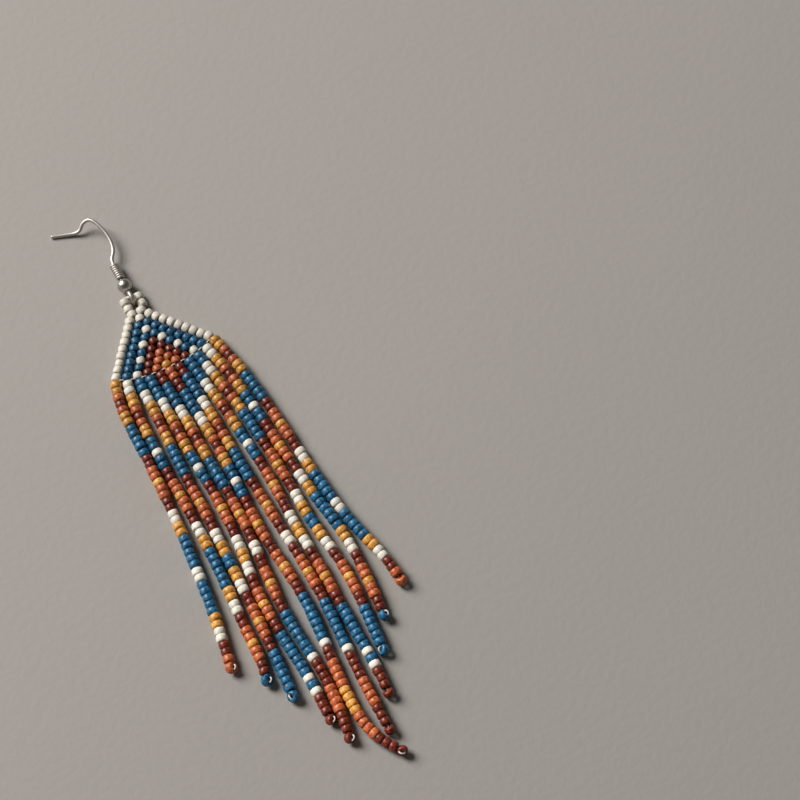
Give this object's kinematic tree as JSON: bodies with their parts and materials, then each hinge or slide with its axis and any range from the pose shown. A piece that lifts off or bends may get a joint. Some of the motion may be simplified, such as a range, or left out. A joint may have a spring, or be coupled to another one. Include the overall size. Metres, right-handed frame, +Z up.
{
  "type": "beaded earring",
  "caption": "Drop earring of glass seed beads lying flat: a triangular brick-stitch panel, a loose fringe of bead strings and a steel ear wire.",
  "frame": {"origin": "on the surface it lies on, under the middle of the whole earring", "axes": "+Y along the earring from the fringe's ends to the ear wire, +X to the right seen from above with the ear wire away from the viewer, +Z up from the surface"},
  "size_m": [0.0386, 0.1318, 0.0033],
  "materials": {
    "panel_beads": "opaque satin glass",
    "loop_beads": "opaque satin glass",
    "fringe_beads": "opaque glossy glass",
    "hook_steel": "polished"
  },
  "bodies": {
    "root": {"bead_panel": "panel_beads", "bead_loop": "loop_beads", "ear_hook": "hook_steel", "hook_ball": "hook_steel", "hook_coil": "hook_steel", "fringe_strand_01": "fringe_beads", "fringe_strand_02": "fringe_beads", "fringe_strand_03": "fringe_beads", "fringe_strand_04": "fringe_beads", "fringe_strand_05": "fringe_beads", "fringe_strand_06": "fringe_beads", "fringe_strand_07": "fringe_beads", "fringe_strand_08": "fringe_beads", "fringe_strand_09": "fringe_beads", "fringe_strand_10": "fringe_beads", "fringe_strand_11": "fringe_beads"}
  },
  "joints": []
}
